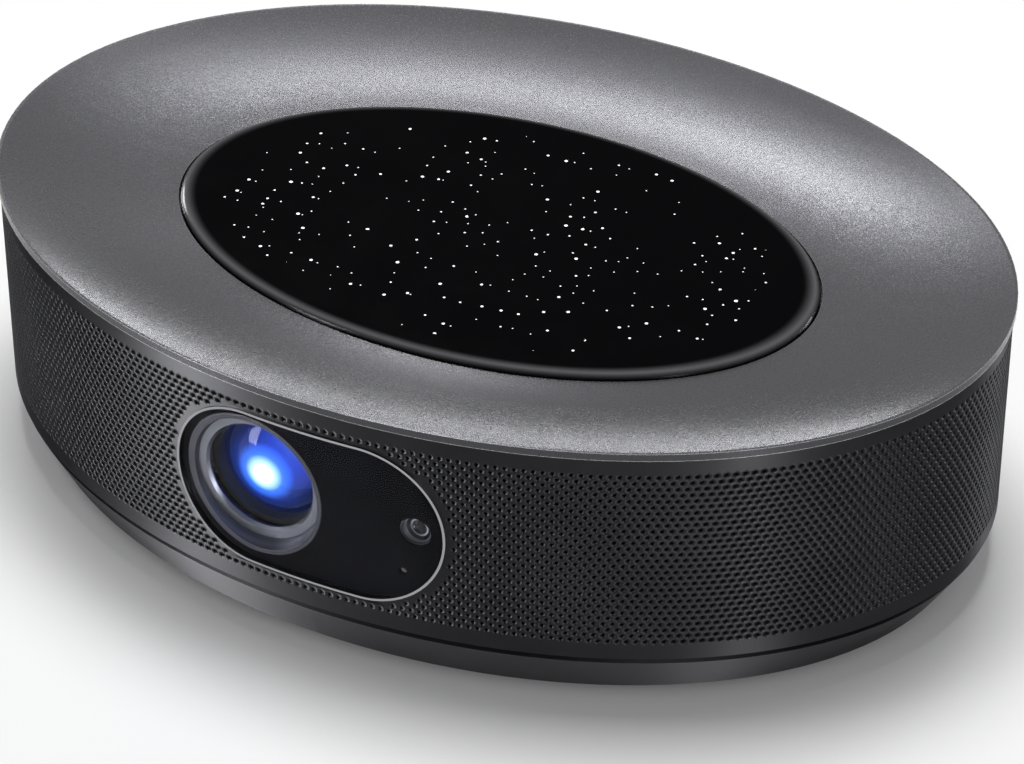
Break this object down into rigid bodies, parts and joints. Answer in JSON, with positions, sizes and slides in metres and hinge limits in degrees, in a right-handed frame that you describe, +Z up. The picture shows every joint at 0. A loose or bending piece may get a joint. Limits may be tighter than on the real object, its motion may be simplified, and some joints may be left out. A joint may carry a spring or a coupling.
{
  "type": "video projector",
  "caption": "Oval home projector with a dished cover, gloss touch panel, perforated grille band, smoked front window with a geared focus lens, speakers, fans and rear ports.",
  "frame": {"origin": "centre of the housing's footprint at the underside of the feet", "axes": "+X along the length, -Y out of the front window, +Z up"},
  "size_m": [0.35, 0.248, 0.0965],
  "materials": {
    "cover_paint": "dark grey satin with a fine metallic sparkle",
    "panel_gloss": "deep gloss black",
    "gasket": "soft foam rubber",
    "circuit_board": "green solder mask",
    "screw_steel": "zinc plated",
    "grille_metal": "charcoal satin sheet, finely perforated",
    "frame_plastic": "black moulded",
    "chassis_steel": "zinc plated sheet",
    "base_plastic": "dark grey, fine grain",
    "foot_rubber": "matte",
    "insert_brass": "turned",
    "window_trim": "bright",
    "window_glass": "smoked",
    "mask_black": "black print",
    "shroud_metal": "satin grey",
    "ring_metal": "satin silver",
    "lens_glass": "coated",
    "engine_casting": "die cast",
    "lens_black": "black",
    "gear_plastic": "natural moulded",
    "motor_steel": "drawn can",
    "sink_aluminium": "bare fins",
    "led_ceramic": "white ceramic board",
    "pipe_copper": "copper pipes and plate",
    "fan_plastic": "black moulded",
    "box_plastic": "black moulded",
    "basket_steel": "black pressed steel",
    "cone_paper": "pressed cone and rubber roll",
    "port_plastic": "black moulded",
    "socket_steel": "plated shells",
    "button_metal": "turned",
    "antenna_board": "flexible print"
  },
  "bodies": {
    "housing": {"top_cover": "cover_paint", "touch_panel": "panel_gloss", "panel_gasket": "gasket", "touch_board": "circuit_board", "cover_screws": "screw_steel", "grille_band": "grille_metal", "side_frame": "frame_plastic", "chassis_plate": "chassis_steel", "base_cover": "base_plastic", "rubber_feet": "foot_rubber", "base_screws": "screw_steel", "tripod_insert": "insert_brass", "window_trim": "window_trim", "front_window": "window_glass", "window_mask": "mask_black", "lens_shroud": "shroud_metal", "lens_trim_ring": "ring_metal", "camera_module": "frame_plastic", "camera_lens": "lens_glass", "light_sensor": "frame_plastic", "engine_housing": "engine_casting", "engine_lid": "engine_casting", "prism_block": "lens_glass", "lens_mount": "lens_black", "focus_motor": "motor_steel", "imager_board": "circuit_board", "imager_heatsink": "sink_aluminium", "led_modules": "led_ceramic", "led_cooler": "sink_aluminium", "heat_pipes": "pipe_copper", "fan_frame_left": "fan_plastic", "fan_frame_right": "fan_plastic", "speaker_box_left": "box_plastic", "speaker_box_right": "box_plastic", "speaker_basket_front_left": "basket_steel", "speaker_basket_front_right": "basket_steel", "speaker_basket_rear_left": "basket_steel", "speaker_basket_rear_right": "basket_steel", "main_board": "circuit_board", "power_board": "circuit_board", "port_panel": "port_plastic", "hdmi_sockets": "socket_steel", "usb_socket": "socket_steel", "audio_jack": "port_plastic", "dc_jack": "port_plastic", "button_switch": "port_plastic", "wifi_antennas": "antenna_board"},
    "lens_barrel": {"lens_barrel": "lens_black", "front_lens": "lens_glass", "rear_lens": "lens_glass"},
    "focus_ring": {"focus_ring": "lens_black"},
    "focus_pinion": {"focus_pinion": "gear_plastic"},
    "fan_rotor_left": {"fan_rotor_left": "fan_plastic"},
    "fan_rotor_right": {"fan_rotor_right": "fan_plastic"},
    "power_button": {"power_button": "button_metal"},
    "speaker_cone_front_left": {"speaker_cone_front_left": "cone_paper"},
    "speaker_cone_front_right": {"speaker_cone_front_right": "cone_paper"},
    "speaker_cone_rear_left": {"speaker_cone_rear_left": "cone_paper"},
    "speaker_cone_rear_right": {"speaker_cone_rear_right": "cone_paper"}
  },
  "joints": [
    {"name": "focus_turn", "type": "hinge", "parent": "housing", "child": "focus_ring", "pos_m": [-0.0194, -0.092, 0.0569], "axis": [0, 1, 0], "range_deg": [-40, 40]},
    {"name": "pinion_turn", "type": "hinge", "parent": "housing", "child": "focus_pinion", "pos_m": [-0.04631, -0.092, 0.03806], "axis": [0, 1, 0], "range_deg": [-142.22, 142.22]},
    {"name": "focus_slide", "type": "slide", "parent": "housing", "child": "lens_barrel", "axis": [0, 1, 0], "range_m": [-0.002, 0.002]},
    {"name": "fan_spin_left", "type": "hinge", "parent": "housing", "child": "fan_rotor_left", "pos_m": [-0.07, 0.062, 0.0522], "axis": [0, 1, 0], "continuous": true},
    {"name": "fan_spin_right", "type": "hinge", "parent": "housing", "child": "fan_rotor_right", "pos_m": [0.07, 0.062, 0.0522], "axis": [0, 1, 0], "continuous": true},
    {"name": "cone_front_left", "type": "slide", "parent": "housing", "child": "speaker_cone_front_left", "axis": [-0.7752, -0.6317, 0], "range_m": [-0.002, 0.002], "stiffness_N_per_m": 800},
    {"name": "cone_front_right", "type": "slide", "parent": "housing", "child": "speaker_cone_front_right", "axis": [0.7752, -0.6317, 0], "range_m": [-0.002, 0.002], "stiffness_N_per_m": 800},
    {"name": "cone_rear_left", "type": "slide", "parent": "housing", "child": "speaker_cone_rear_left", "axis": [-0.7752, 0.6317, 0], "range_m": [-0.002, 0.002], "stiffness_N_per_m": 800},
    {"name": "cone_rear_right", "type": "slide", "parent": "housing", "child": "speaker_cone_rear_right", "axis": [0.7752, 0.6317, 0], "range_m": [-0.002, 0.002], "stiffness_N_per_m": 800},
    {"name": "power_press", "type": "slide", "parent": "housing", "child": "power_button", "axis": [0, -1, 0], "range_m": [0, 0.0008], "stiffness_N_per_m": 400}
  ],
  "couplings": [
    {"joint": "focus_turn", "follows": "focus_slide", "rad_per_m": 349.07},
    {"joint": "pinion_turn", "follows": "focus_slide", "rad_per_m": -1241.1}
  ]
}
